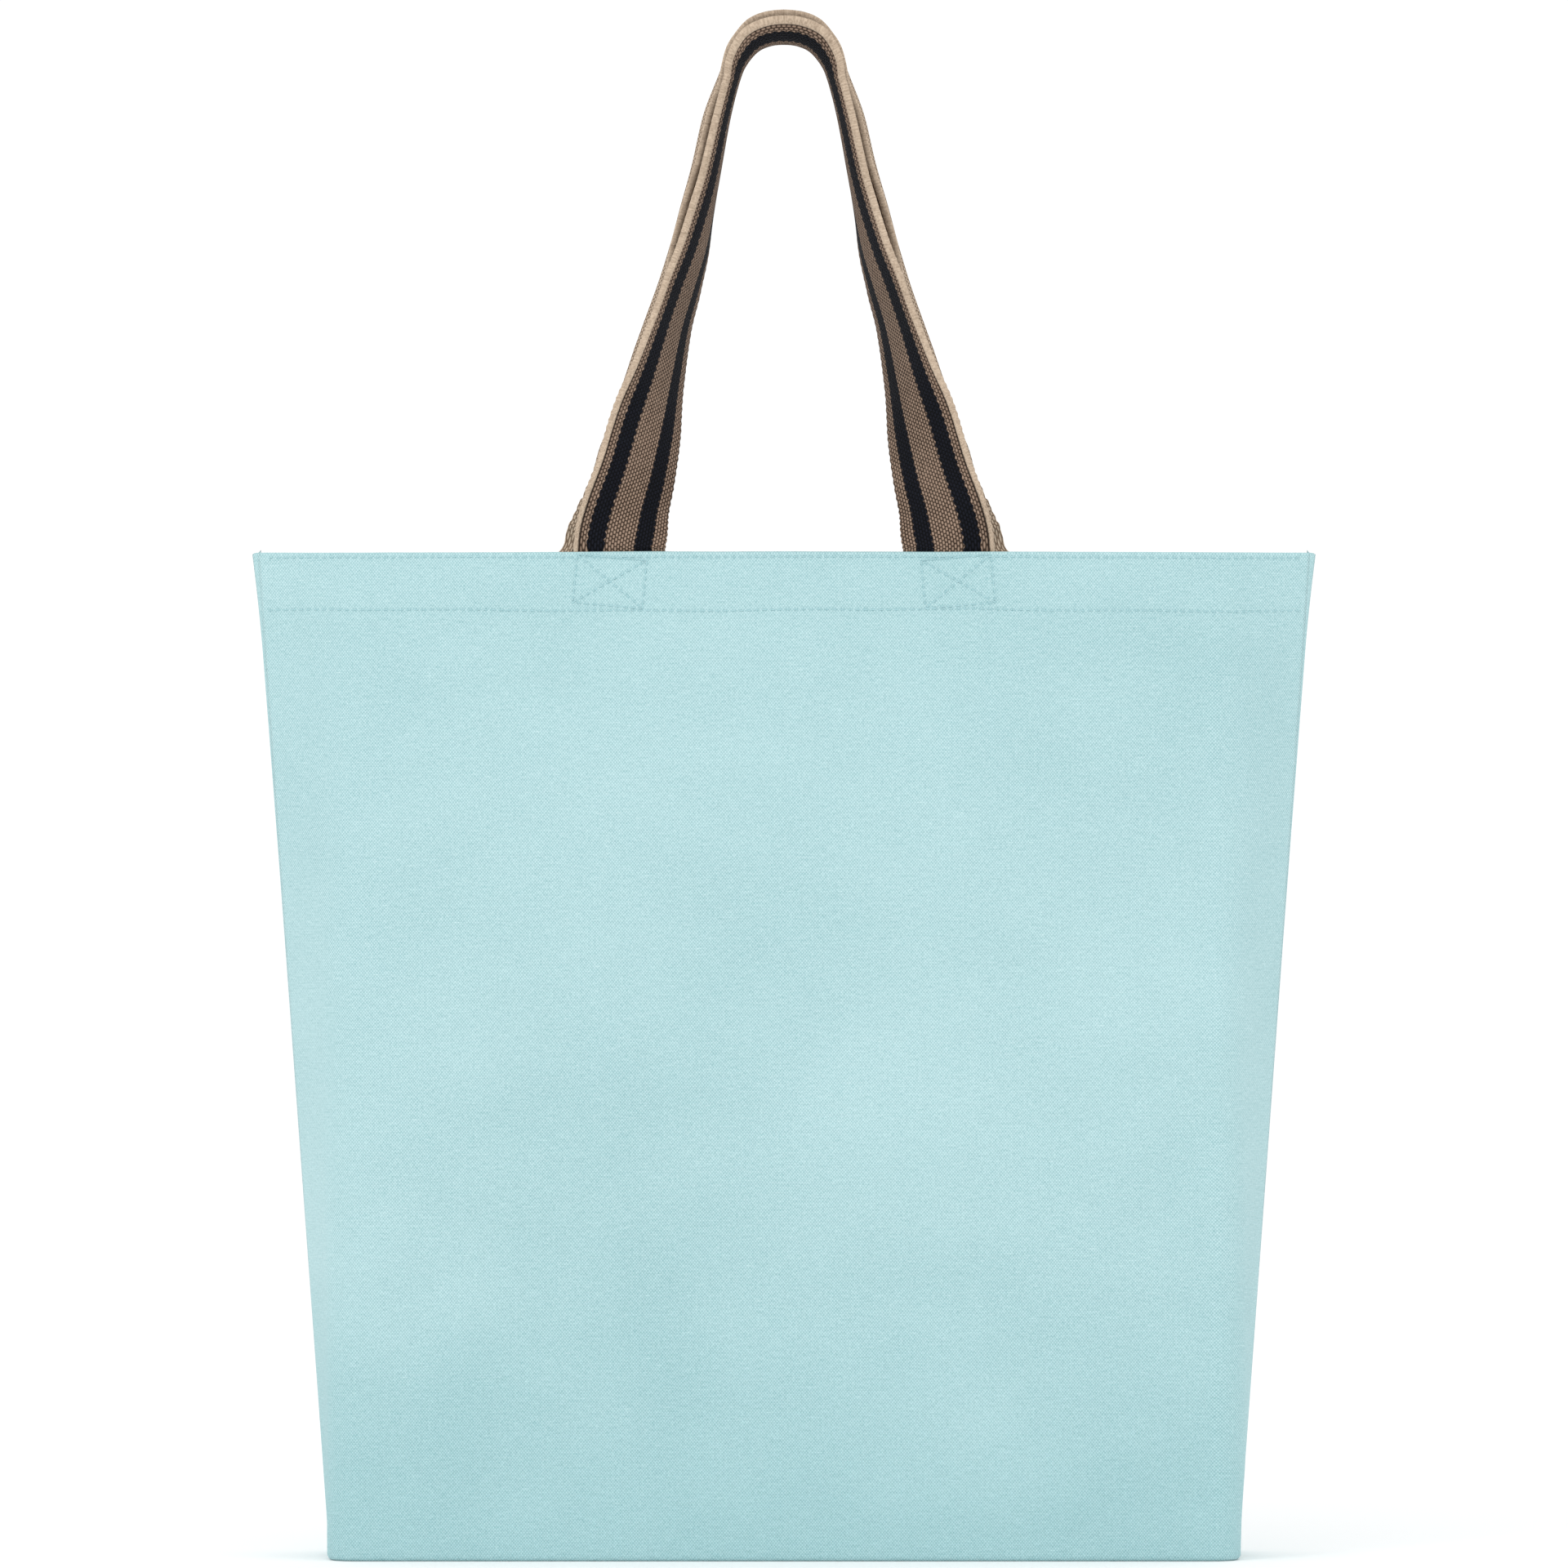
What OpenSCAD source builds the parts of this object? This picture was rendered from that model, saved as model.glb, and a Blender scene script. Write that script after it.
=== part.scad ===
// Open-top canvas tote bag with a boxed base and two webbing carrying handles.
// Millimetres, +Z up. The origin is the centre of the base, on the surface it stands on.
// The front is at -Y. Each handle is one webbing strap: two sewn tails and a loop that swings.

/* [Bag] */
// Width across the rim
rim_w = 440; // [380:1:500]
// Width of the base
base_w = 378; // [330:1:420]
// Depth of the base, front to back
base_d = 76; // [60:1:84]
// Height of the rim above the base
bag_h = 417; // [405:1:417]
// How far the mouth stands open at the middle
mouth_d = 60; // [56:1:64]
// Radius of the upright corners near the base
corner_r = 12; // [6:1:20]
// Thickness of one layer of canvas
canvas_t = 1; // [0.8:0.1:1.2]

/* [Hem and seams] */
// Height of the folded hem inside the rim
hem_h = 25; // [20:1:30]
// Width of the seam allowances inside
seam_w = 9; // [7:0.5:12]
// Thickness of the binding tape
tape_t = 0.6; // [0.4:0.1:1]
// How far the tape covers the seam allowance
tape_w = 6; // [4:0.5:7]
// Diameter of the sewing thread
thread_d = 0.6; // [0.4:0.1:0.8]
// Rim to the top stitching
topstitch_drop = 2; // [1.5:0.5:4]
// Rim to the hem stitching
hem_stitch_drop = 24; // [19:0.5:24.5]

/* [Handles] */
// Width of the webbing
web_w = 38; // [30:1:40]
// Thickness of the webbing
web_t = 2.2; // [1.8:0.1:2.4]
// Centre of each front tail at the rim, from the middle
front_tail_x = 68; // [64:1:72]
// Centre of each back tail at the rim, from the middle
back_tail_x = 75; // [72:1:80]
// Lean of the tails, inwards going up
tail_lean = 9; // [0:1:12]
// Height of the swing axis above the rim
axis_up = 2; // [1.5:0.5:3]
// Steps along each stretch of a loop between two route points
loop_steps = 4; // [2:1:6]

/* [Box stitching] */
// Width of the stitched box on each tail
box_w = 29; // [20:1:32]
// Height of the stitched box
box_h = 20; // [14:1:21]
// How far the box sits outwards of the tail's centre
box_shift = 3; // [0:0.5:4]

/* [Hidden] */

canvas_colour = "#b9dfe3";
webbing_colour = "#a08a76";
thread_colour = "#a6d0d5";
tape_colour = "#d5e6e4";

far = 400;              // larger than any half of the bag
skin = 0.01;            // half the gap between the two halves of the bag
lens_steps = 12;        // points along each half of the mouth's curve
layers_t = 2 * canvas_t;
hem_z = bag_h - hem_h;
axis_z = bag_h + axis_up;
axis_y = 29;            // swing axis, over the hem
tail_top = bag_h + 2.5;
foot_z = tail_top + 1.5;  // the loops start here, just clear of the tails
tail_bottom = hem_z + 1;
binding_z = 13;         // side seams' allowances start above the corners'
binding_t = layers_t + 2 * tape_t;
bottom_len = base_w - 28;             // bound length of the bottom seam
corner_len = base_d - 2 * corner_r;   // bound length of each corner seam
tail_gap = 0.15;        // the tails lie this far off the hem

// Half of each loop, from its foot to its crown: x, y, z and the turn of the webbing about
// Z. At 0 the webbing faces the front, and at 90 its width runs from front to back.
front_route = [
  [-front_tail_x, -24, foot_z, -4], [-65.3, -22.7, 435, 20], [-61, -20.5, 450, 31],
  [-56.2, -17.5, 470, 40], [-51.5, -14.8, 489, 54], [-46, -12.3, 511, 64],
  [-40.7, -10.3, 528, 67], [-35.3, -9, 545, 73], [-29.6, -8, 570, 84],
  [-24.4, -8, 597, 88], [-20.4, -8, 613, 89], [-17.6, -8, 620.5, 89],
  [-12.5, -8, 627, 90], [-6.5, -8, 630, 90], [0, -8, 630.8, 90]];
back_route = [
  [-back_tail_x, -24, foot_z, -4], [-75.2, -20.5, 429, 40], [-75.8, -15.5, 440, 68],
  [-73.5, -12.3, 455, 77], [-68.2, -11, 469, 79], [-58.6, -10, 494, 79], [-52.8, -9.3, 511, 81],
  [-47.9, -8.7, 528, 85], [-43.7, -8.3, 545, 88], [-39.5, -8, 562, 89],
  [-34.9, -8, 579, 90], [-30.1, -8, 599, 90], [-25, -8, 612.6, 90],
  [-22.6, -8, 619.5, 90], [-20.1, -8, 625.1, 90], [-17.2, -8, 628.9, 90],
  [-12.3, -8, 633.6, 90], [-7, -8, 636, 90], [0, -8, 636.8, 90]];

// ---- the bag's outline ----

// Half depth of the mouth at x, for a mouth drawn in by inset
function mouth_y(x, inset) =
  let (half = rim_w / 2 - 4 * inset)
  (mouth_d / 2 - inset) * (1 - x * x / (half * half));

module mouth_outline(inset) {
  half = rim_w / 2 - 4 * inset;
  xs = [for (i = [-lens_steps:lens_steps]) half * sin(90 * i / lens_steps)];
  back_edge = [for (x = xs) [x, mouth_y(x, inset)]];
  front_edge = [for (i = [2 * lens_steps - 1:-1:1]) [xs[i], -mouth_y(xs[i], inset)]];
  polygon(concat(back_edge, front_edge));
}

module base_outline(inset) {
  r = corner_r - inset;
  hull()
    for (sx = [-1, 1], sy = [-1, 1])
      translate([sx * (base_w / 2 - corner_r), sy * (base_d / 2 - corner_r)])
        circle(r, $fn = 32);
}

// The space inside a surface that lies inset from the bag's outer face
module bag_space(inset, floor_z, top_z) {
  slab = 0.01;
  hull() {
    translate([0, 0, floor_z])
      linear_extrude(slab) base_outline(inset);
    translate([0, 0, top_z - slab])
      linear_extrude(slab) mouth_outline(inset);
  }
}

// A slice of the bag between two insets, open at top and bottom
module wall(outer, inner) {
  difference() {
    bag_space(outer, 0, bag_h);
    translate([0, 0, -1])
      bag_space(inner, 0, bag_h + 2);
  }
}

module front_half() {
  intersection() {
    children();
    translate([-far, -far, -far])
      cube([2 * far, far - skin, 3 * far]);
  }
}

module band(z0, z1) {
  translate([-far, -far, z0])
    cube([2 * far, 2 * far, z1 - z0]);
}

module to_back() {
  mirror([0, 1, 0]) children();
}

module to_right() {
  mirror([1, 0, 0]) children();
}

// ---- canvas panels ----

// Inner face of the side wall at height z, on the left
function side_x(z) = -(base_w / 2 + (rim_w - base_w) / 2 * z / bag_h - 2 * canvas_t);

// A strip along the left side seam, in the XZ plane, from depth a to depth b inwards
module side_strip(a, b, z0, z1) {
  polygon([[side_x(z0) + a, z0], [side_x(z0) + b, z0],
    [side_x(z1) + b, z1], [side_x(z1) + a, z1]]);
}

// Extrudes an outline drawn in XZ, from y0 to y1
module stand_up(y0, y1) {
  translate([0, y1, 0])
    rotate([90, 0, 0])
      linear_extrude(y1 - y0) children();
}

module side_allowance() {
  stand_up(-canvas_t, -skin)
    side_strip(-1, seam_w, binding_z, bag_h - 0.5);
}

module bottom_allowance() {
  half = bottom_len / 2;
  translate([-half, -canvas_t, canvas_t / 2])
    cube([2 * half, canvas_t - skin, seam_w + canvas_t / 2]);
}

module corner_allowance() {
  depth = corner_len / 2;
  translate([side_x(0) + 1, -depth, canvas_t / 2])
    cube([layers_t, depth - skin, seam_w + canvas_t / 2]);
}

module panel() {
  front_half() {
    difference() {
      bag_space(0, 0, bag_h);
      bag_space(canvas_t, canvas_t, bag_h + 0.02);
    }
    intersection() {
      wall(canvas_t - 0.1, layers_t);
      band(hem_z, bag_h);
    }
  }
  side_allowance();
  to_right() side_allowance();
  bottom_allowance();
  corner_allowance();
  to_right() corner_allowance();
}

module front_panel() {
  color(canvas_colour) panel();
}

module back_panel() {
  color(canvas_colour) to_back() panel();
}

// ---- handle webbing ----

// The half route and its mirror image, as one route over the crown
function whole_route(half) = concat(half,
  [for (i = [len(half) - 2:-1:0]) [-half[i][0], half[i][1], half[i][2], 180 - half[i][3]]]);

// A smooth curve through the points of a route: stretch i, at share u
function spline(p, i, u) =
  let (a = p[max(i - 1, 0)], b = p[i], c = p[i + 1], d = p[min(i + 2, len(p) - 1)])
  0.5 * (2 * b + (c - a) * u + (2 * a - 5 * b + 4 * c - d) * u * u
    + (3 * b - a - 3 * c + d) * u * u * u);

function place(q) = [q[0], q[1], q[2]];

function unit(v) = v / norm(v);

// Four corners of the webbing at q, where the route heads along t. Its two ends are level.
function web_ring(q, t) =
  let (flat = [cos(q[3]), sin(q[3]), 0], w = unit(flat - (flat * t) * t), n = cross(t, w))
  [for (c = [[-1, -1], [1, -1], [1, 1], [-1, 1]])
    place(q) + w * c[0] * web_w / 2 + n * c[1] * web_t / 2];

module strap(route) {
  last = len(route) - 2;
  samples = concat([for (i = [0:last], k = [0:loop_steps - 1])
    spline(route, i, k / loop_steps)], [route[last + 1]]);
  n = len(samples);
  rings = [for (i = [0:n - 1])
    let (t = i == 0 ? [0, 0, 1] : i == n - 1 ? [0, 0, -1]
      : place(samples[i + 1]) - place(samples[i - 1]))
    web_ring(samples[i], unit(t))];
  sides = [for (i = [0:n - 2], k = [0:3])
    let (a = 4 * i + k, b = 4 * i + (k + 1) % 4)
    each [[a, b + 4, b], [a, a + 4, b + 4]]];
  foot = [[0, 1, 2], [0, 2, 3]];
  tip = [[4 * n - 4, 4 * n - 2, 4 * n - 3], [4 * n - 4, 4 * n - 1, 4 * n - 2]];
  polyhedron([for (r = rings) each r], concat(sides, foot, tip));
}

module front_handle() {
  color(webbing_colour) strap(whole_route(front_route));
}

module back_handle() {
  color(webbing_colour) to_back() strap(whole_route(back_route));
}

// Places an outline drawn about the tail's centre line, with its origin at the rim
module on_tail(tail_x, y0, y1) {
  stand_up(y0, y1)
    translate([-tail_x, bag_h])
      rotate(-tail_lean) children();
}

// One sewn tail, flat against the inside of the hem, on the left of the front panel
module tail(tail_x) {
  color(webbing_colour)
    intersection() {
      difference() {
        bag_space(layers_t + tail_gap, 0, tail_top);
        translate([0, 0, -1])
          bag_space(layers_t + tail_gap + web_t, 0, tail_top + 2);
      }
      on_tail(tail_x, -60, -2)
        translate([-web_w / 2, -2 * hem_h])
          square([web_w, 3 * hem_h]);
      band(tail_bottom, tail_top);
    }
}

module front_left_tail() {
  tail(front_tail_x);
}

module front_right_tail() {
  to_right() tail(front_tail_x);
}

module back_left_tail() {
  to_back() tail(back_tail_x);
}

module back_right_tail() {
  to_right() to_back() tail(back_tail_x);
}

// ---- thread ----

// Keeps the part of a pattern that lies as a thread on the outer face
module thread_skin() {
  color(thread_colour)
    front_half()
      intersection() {
        wall(-thread_d / 2, 0);
        children();
      }
}

module bar(a, b) {
  hull()
    for (p = [a, b])
      translate(p) circle(thread_d / 2, $fn = 12);
}

module box_and_cross() {
  w = box_w / 2;
  for (s = [-1, 1]) {
    bar([s * w, -box_h / 2], [s * w, box_h / 2]);
    bar([-w, s * box_h / 2], [w, s * box_h / 2]);
    bar([-w, -s * box_h / 2], [w, s * box_h / 2]);
  }
}

module box_stitch(tail_x) {
  thread_skin()
    on_tail(tail_x, -60, -2)
      translate([-box_shift, -hem_h / 2])
        box_and_cross();
}

module front_left_box_stitch() {
  box_stitch(front_tail_x);
}

module front_right_box_stitch() {
  to_right() box_stitch(front_tail_x);
}

module back_left_box_stitch() {
  to_back() box_stitch(back_tail_x);
}

module back_right_box_stitch() {
  to_right() to_back() box_stitch(back_tail_x);
}

// A level line of thread, drop below the rim, that stops just short of the side seams
module level_stitch(drop) {
  half = rim_w / 2 - 4;
  thread_skin()
    translate([-half, -far, bag_h - drop - thread_d / 2])
      cube([2 * half, 2 * far, thread_d]);
}

module front_rim_stitch() {
  level_stitch(topstitch_drop);
}

module back_rim_stitch() {
  to_back() level_stitch(topstitch_drop);
}

module front_hem_stitch() {
  level_stitch(hem_stitch_drop);
}

module back_hem_stitch() {
  to_back() level_stitch(hem_stitch_drop);
}

// ---- bound seams inside ----

// Tape folded round the edge of the side seam's allowance, on the left
module side_binding() {
  color(tape_colour)
    difference() {
      stand_up(-binding_t / 2, binding_t / 2)
        side_strip(seam_w - tape_w, seam_w + tape_t, binding_z, hem_z - 2);
      stand_up(-canvas_t, canvas_t)
        side_strip(0, seam_w, binding_z - 1, hem_z);
    }
}

module left_side_binding() {
  side_binding();
}

module right_side_binding() {
  to_right() side_binding();
}

// Tape folded over an upright allowance that runs along X
module upright_binding(length, thick) {
  top = seam_w + canvas_t;
  difference() {
    translate([-length / 2, -thick / 2 - tape_t, top - tape_w])
      cube([length, thick + 2 * tape_t, tape_w + tape_t]);
    translate([-length, -thick / 2, 0])
      cube([2 * length, thick, top]);
  }
}

module bottom_binding() {
  color(tape_colour) upright_binding(bottom_len, layers_t);
}

module corner_binding() {
  color(tape_colour)
    translate([side_x(0) + 1 + canvas_t, 0, 0])
      rotate(90) upright_binding(corner_len, layers_t);
}

module left_corner_binding() {
  corner_binding();
}

module right_corner_binding() {
  to_right() corner_binding();
}

// Lines of thread on the two faces of a binding
module side_stitch() {
  mid = seam_w - tape_w / 2;
  color(thread_colour)
    for (s = [-1, 1])
      translate([0, s * (binding_t / 2 + thread_d / 4), 0])
        stand_up(-thread_d / 4, thread_d / 4)
          side_strip(mid - thread_d / 2, mid + thread_d / 2, binding_z, hem_z - 2);
}

module left_side_stitch() {
  side_stitch();
}

module right_side_stitch() {
  to_right() side_stitch();
}

module upright_stitch(length) {
  z = seam_w + canvas_t - tape_w / 2;
  for (s = [-1, 1])
    translate([-length / 2, s * (binding_t / 2 + thread_d / 4) - thread_d / 4, z])
      cube([length, thread_d / 2, thread_d]);
}

module bottom_stitch() {
  color(thread_colour) upright_stitch(bottom_len);
}

module corner_stitch() {
  color(thread_colour)
    translate([side_x(0) + 1 + canvas_t, 0, 0])
      rotate(90) upright_stitch(corner_len);
}

module left_corner_stitch() {
  corner_stitch();
}

module right_corner_stitch() {
  to_right() corner_stitch();
}

front_panel();
back_panel();
front_handle();
back_handle();
front_left_tail();
front_right_tail();
back_left_tail();
back_right_tail();
front_left_box_stitch();
front_right_box_stitch();
back_left_box_stitch();
back_right_box_stitch();
front_rim_stitch();
back_rim_stitch();
front_hem_stitch();
back_hem_stitch();
left_side_binding();
right_side_binding();
bottom_binding();
left_corner_binding();
right_corner_binding();
left_side_stitch();
right_side_stitch();
bottom_stitch();
left_corner_stitch();
right_corner_stitch();
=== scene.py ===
"""Looks of an open canvas tote bag with two webbing handles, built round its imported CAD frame.

Metres, +Z up, the front at -Y, as in the CAD. Cloth is built as it is sewn: each canvas panel is
one sheet that folds over at the rim, turns under the base and turns in at its seams.
"""

import math

import bpy
import numpy as np
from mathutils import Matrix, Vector, noise
from mathutils.bvhtree import BVHTree


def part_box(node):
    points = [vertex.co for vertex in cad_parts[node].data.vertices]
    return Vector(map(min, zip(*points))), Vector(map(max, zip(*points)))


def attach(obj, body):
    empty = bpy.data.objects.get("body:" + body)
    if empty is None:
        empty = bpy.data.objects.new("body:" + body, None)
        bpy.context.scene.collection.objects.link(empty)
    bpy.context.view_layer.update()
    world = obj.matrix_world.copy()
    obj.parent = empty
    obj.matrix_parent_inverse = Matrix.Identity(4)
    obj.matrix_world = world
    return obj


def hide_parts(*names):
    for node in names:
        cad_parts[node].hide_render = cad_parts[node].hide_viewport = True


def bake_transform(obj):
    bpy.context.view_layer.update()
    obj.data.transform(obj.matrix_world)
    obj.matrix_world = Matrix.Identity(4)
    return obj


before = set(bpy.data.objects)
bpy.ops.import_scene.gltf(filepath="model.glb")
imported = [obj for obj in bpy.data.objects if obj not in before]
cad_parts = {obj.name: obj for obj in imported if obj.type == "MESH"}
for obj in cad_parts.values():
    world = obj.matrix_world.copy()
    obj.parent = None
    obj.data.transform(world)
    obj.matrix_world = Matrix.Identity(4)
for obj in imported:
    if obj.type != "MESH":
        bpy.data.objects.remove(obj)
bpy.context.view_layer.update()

MM = 0.001


# ---- sizes, from the frame ----

def node_points(node):
    return np.array([v.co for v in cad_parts[node].data.vertices])


panel_low, panel_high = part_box("front_panel")
panel_points = node_points("front_panel")
BAG_H = panel_high.z
RIM_HALF = panel_high.x
BASE_HALF = panel_points[panel_points[:, 2] < MM][:, 0].max()
BASE_DEPTH = -panel_low.y
MOUTH_DEPTH = -panel_points[panel_points[:, 2] > BAG_H - MM][:, 1].min()

CANVAS_T = 1 * MM
CORNER_R = 12 * MM      # upright corners at the base
EDGE_R = 2 * MM         # turn from the wall into the base
HEM = 25 * MM
RIM_STITCH = 2 * MM     # the rim's line of stitches, below the rim
HEM_STITCH = 24 * MM    # the hem's line of stitches, below the rim
SEAM_W = 9 * MM         # seam allowances inside
GUSSET_TURN = 0.95      # sine of the angle through which the gusset turns, base to rim
HALF_GAP = 0.55 * MM    # from the middle plane to the mid-surface of each seam allowance

WEB_W = 38 * MM
WEB_HALF_T = 0.85       # half thickness of the webbing between its edges, mm
BEAD_START = 17.2 * MM  # from the webbing's middle to its front edge's bead
SELVEDGE_PITCH = 3.1 * MM    # scallops along the webbing's edges and stripes


# ---- mesh building ----

def grid_quads(rows, cols, wrap=False):
    """Quads of a grid of rows x cols points, closed round its columns where wrap is set."""
    r = np.arange(rows - 1)[:, None]
    c = np.arange(cols if wrap else cols - 1)[None, :]
    a, b = r * cols + c, r * cols + (c + 1) % cols
    return np.stack([a, b, b + cols, a + cols], -1).reshape(-1, 4)


def new_object(name, points, faces, uv_of_corners, material_of_faces=None):
    """A smooth mesh object with one UV map, in metres on the cloth."""
    mesh = bpy.data.meshes.new(name)
    mesh.from_pydata(np.asarray(points).tolist(), [], [list(f) for f in faces])
    layer = mesh.uv_layers.new(name="cloth")
    layer.data.foreach_set("uv", np.asarray(uv_of_corners, np.float32).ravel())
    mesh.polygons.foreach_set("use_smooth", np.ones(len(faces), bool))
    if material_of_faces is not None:
        mesh.polygons.foreach_set("material_index", np.asarray(material_of_faces, np.int32))
    mesh.validate()
    obj = bpy.data.objects.new(name, mesh)
    bpy.context.scene.collection.objects.link(obj)
    return obj


def lengths_along(points):
    """The length from the first point to each one."""
    gaps = np.linalg.norm(np.diff(points, axis=0), axis=-1)
    return np.concatenate([[0], np.cumsum(gaps)])


def apply_modifiers(obj):
    depsgraph = bpy.context.evaluated_depsgraph_get()
    mesh = bpy.data.meshes.new_from_object(obj.evaluated_get(depsgraph))
    obj.modifiers.clear()
    obj.data = mesh
    obj.data.name = obj.name


def add_thickness(obj, thickness):
    solid = obj.modifiers.new("thickness", "SOLIDIFY")
    solid.thickness = thickness
    solid.offset = 0
    solid.use_even_offset = True
    apply_modifiers(obj)


class Parts:
    """Grids of points gathered into one mesh."""

    def __init__(self):
        self.points, self.faces, self.uvs, self.count = [], [], [], 0

    def add(self, points, uv, flip=False):
        """points: rows x cols x 3, uv: rows x cols x 2."""
        rows, cols = points.shape[:2]
        quads = grid_quads(rows, cols)
        if flip:
            quads = quads[:, ::-1]
        self.uvs.append(uv.reshape(-1, 2)[quads].reshape(-1, 2))
        self.faces.append(quads + self.count)
        self.points.append(points.reshape(-1, 3))
        self.count += rows * cols

    def build(self, name):
        return new_object(name, np.concatenate(self.points), np.concatenate(self.faces),
                          np.concatenate(self.uvs))


# ---- the bag's shape ----

def base_point(share):
    """A quarter of the base's mid-surface, from the side seam at share 0 to the middle at 1."""
    r = CORNER_R - CANVAS_T / 2
    start = HALF_GAP + CANVAS_T
    side = BASE_DEPTH - CORNER_R - start
    arc = math.pi * r / 2
    front = BASE_HALF - CORNER_R
    a = share * (side + arc + front)
    turn = np.clip((a - side) / arc, 0, 1) * math.pi / 2
    x = front + r * np.cos(turn) - np.clip(a - side - arc, 0, None)
    y = start + np.clip(a, None, side) + r * np.sin(turn)
    return x, y


def mouth_point(share):
    """The same quarter of the mouth, a flat arc that ends just short of the side seam."""
    end = RIM_HALF - 1.5 * CANVAS_T
    reach = RIM_HALF + 3.5 * CANVAS_T
    x = end * (1 - share)
    return x, (MOUTH_DEPTH - CANVAS_T / 2) * (1 - (x / reach) ** 2)


def draw_in(t):
    """Share of the way from base to mouth that the depth has come at height share t."""
    return (1 - np.sqrt(1 - (GUSSET_TURN * t) ** 2)) / (1 - math.sqrt(1 - GUSSET_TURN ** 2))


def wall_point(across, z):
    """The smooth front wall. across runs from -1 at the left side seam to 1 at the right."""
    share, t = 1 - np.abs(across), z / BAG_H
    bx, by = base_point(share)
    mx, my = mouth_point(share)
    x = bx + (mx - bx) * t
    y = by + (my - by) * draw_in(t)
    return np.stack([np.sign(across) * x, -y, np.broadcast_to(z, y.shape)], -1)


# Soft folds and hollows in a wall: both ends (x, z), half width and depth, all in mm.
# A negative depth is a hollow.
FRONT_FOLDS = [
    (-52, 412, -58, 330, 16, 1.6), (-30, 412, -20, 345, 14, -1.5),
    (2, 412, 12, 350, 15, 1.1), (62, 412, 50, 352, 15, -1.3), (92, 410, 98, 350, 16, 1.2),
    (-120, 400, -60, 250, 40, -1.8), (-90, 190, 30, 120, 34, -2.4), (-20, 210, 60, 300, 36, 1.8),
    (60, 150, 150, 60, 30, 1.9), (150, 140, 178, 190, 13, -1.6), (172, 250, 182, 330, 12, -1.4),
    (140, 260, 90, 180, 34, -1.5), (-165, 30, -150, 110, 13, -1.7), (-178, 110, -186, 230, 12, -1.1),
    (-120, 20, -30, 60, 26, -1.7), (20, 25, 120, 18, 22, 1.4), (165, 25, 140, 80, 14, -1.3)]
BACK_FOLDS = [
    (60, 412, 66, 320, 16, 1.7), (24, 412, 14, 340, 15, -1.6), (-60, 412, -48, 340, 15, -1.4),
    (-95, 410, -104, 330, 17, 1.3), (110, 380, 40, 240, 38, -2.0), (80, 200, -40, 110, 34, -2.2),
    (-70, 150, -150, 70, 30, 1.8), (-155, 130, -178, 190, 13, -1.5), (165, 30, 148, 120, 14, -1.6),
    (176, 120, 186, 240, 12, -1.1), (110, 20, 20, 50, 25, -1.6), (-20, 25, -120, 20, 22, 1.5)]


def folds_at(x, z, folds):
    """How far the soft folds push the cloth outwards at x, z."""
    total = np.zeros_like(x)
    for x0, z0, x1, z1, width, depth in folds:
        a = np.array([x0, z0]) * MM
        d = np.array([x1, z1]) * MM - a
        along = np.clip(((x - a[0]) * d[0] + (z - a[1]) * d[1]) / (d @ d), 0, 1)
        away = np.hypot(x - a[0] - along * d[0], z - a[1] - along * d[1]) / (width * MM)
        total += depth * MM * np.exp(-away ** 2)
    return total


def drift(x, z, seed):
    """Broad, gentle unevenness of cloth that has been folded and handled."""
    flat = np.stack([x.ravel(), z.ravel()], -1)
    values = [noise.noise(Vector((p[0] / 0.11, p[1] / 0.15, seed)))
              + 0.45 * noise.noise(Vector((p[0] / 0.045, p[1] / 0.06, seed + 7)))
              for p in flat]
    return np.array(values).reshape(x.shape)


def smooth_step(a, b, v):
    t = np.clip((v - a) / (b - a), 0, 1)
    return t * t * (3 - 2 * t)


def hem_pucker(x, z):
    """Small gathers that the hem's two rows of stitches pull into the cloth."""
    wave = np.sin(x / (5.3 * MM) + 1.7 * np.sin(x / (31 * MM)))
    wave2 = np.sin(x / (3.9 * MM) + 2.1 * np.sin(x / (23 * MM)) + 1)
    low = np.exp(-((z - (BAG_H - HEM_STITCH)) / (5 * MM)) ** 2)
    high = np.exp(-((z - BAG_H) / (4 * MM)) ** 2)
    return (0.16 * wave * low + 0.08 * wave2 * high) * MM


def cloth_offset(x, across, z, folds, seed):
    """Outward offset of the real cloth from the smooth wall, nothing at seams and base."""
    free = smooth_step(0, 0.1, 1 - np.abs(across)) * smooth_step(0.002, 0.04, z)
    rim = 1 - 0.55 * smooth_step(BAG_H - 0.05, BAG_H, z)
    soft = folds_at(x, z, folds) + 1.5 * MM * drift(x, z, seed)
    return soft * free * rim + hem_pucker(x, z) * free


def normals_of(points):
    """Unit normals of a grid of points, by central differences."""
    down = np.gradient(points, axis=0)
    over = np.gradient(points, axis=1)
    n = np.cross(over, down)
    return n / np.maximum(np.linalg.norm(n, axis=-1, keepdims=True), 1e-12)


# columns of a panel from seam to seam, closer together over the gussets and corners
EDGE_COLUMNS = 34
EDGE_SHARE = 0.8
COLUMNS = 170
MIDDLE = COLUMNS // 2
across_half = np.concatenate([np.linspace(1, EDGE_SHARE, EDGE_COLUMNS, endpoint=False),
                              np.linspace(EDGE_SHARE, 0, MIDDLE - EDGE_COLUMNS + 1)])
ACROSS = np.concatenate([-across_half, across_half[:-1][::-1]])


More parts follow.
